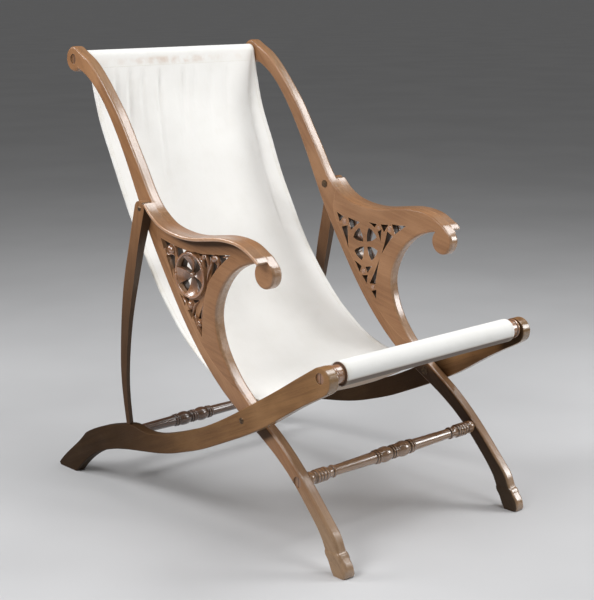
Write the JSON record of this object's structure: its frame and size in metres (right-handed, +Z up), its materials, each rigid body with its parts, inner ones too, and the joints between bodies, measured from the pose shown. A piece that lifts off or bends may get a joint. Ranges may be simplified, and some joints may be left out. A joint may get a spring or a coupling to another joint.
{
  "type": "folding campaign chair",
  "caption": "Folding reclining armchair with S-curved wooden side frames, pierced scrolled arms, a pivoted seat frame, swinging props and a hung canvas sling.",
  "frame": {"origin": "on the floor, at the middle of the chair's width and depth", "axes": "+Z up, -Y the way the sitter faces, +X to the sitter's left"},
  "size_m": [0.585, 0.9262, 0.9619],
  "materials": {
    "polished_wood": "satin polish over reddish brown hardwood",
    "rail_wood": "worn satin, darker towards the rear foot",
    "rivet_metal": "aged, dull",
    "canvas": "plain cotton duck, matt"
  },
  "bodies": {
    "side_frames": {"left_stile_leg": "polished_wood", "right_stile_leg": "polished_wood", "left_arm_panel": "polished_wood", "right_arm_panel": "polished_wood", "left_arm_strip": "polished_wood", "right_arm_strip": "polished_wood", "crest_rail": "polished_wood", "front_stretcher": "polished_wood", "sling_back": "canvas", "frame_tenon_wedges": "polished_wood", "arm_dowels": "polished_wood", "strip_pins": "rivet_metal", "pivot_rivets": "rivet_metal", "pivot_washers": "rivet_metal", "pivot_roves": "rivet_metal", "strut_rivets": "rivet_metal", "strut_washers": "rivet_metal", "strut_roves": "rivet_metal"},
    "seat_frame": {"left_seat_rail": "rail_wood", "right_seat_rail": "rail_wood", "seat_front_rail": "rail_wood", "rear_stretcher": "polished_wood", "sling_seat": "canvas", "seat_tenon_wedges": "rail_wood"},
    "left_strut": {"left_prop_strut": "polished_wood"},
    "right_strut": {"right_prop_strut": "polished_wood"}
  },
  "joints": [
    {"name": "fold", "type": "hinge", "parent": "side_frames", "child": "seat_frame", "pos_m": [0, -0.197, 0.257], "axis": [1, 0, 0], "range_deg": [0, 52]},
    {"name": "left_prop_swing", "type": "hinge", "parent": "side_frames", "child": "left_strut", "pos_m": [0.277, 0.122, 0.64], "axis": [1, 0, 0], "range_deg": [0, 120]},
    {"name": "right_prop_swing", "type": "hinge", "parent": "side_frames", "child": "right_strut", "pos_m": [-0.277, 0.122, 0.64], "axis": [1, 0, 0], "range_deg": [0, 120]}
  ],
  "couplings": [
    {"joint": "left_prop_swing", "follows": "fold", "ratio": 2.3},
    {"joint": "right_prop_swing", "follows": "fold", "ratio": 2.3}
  ]
}
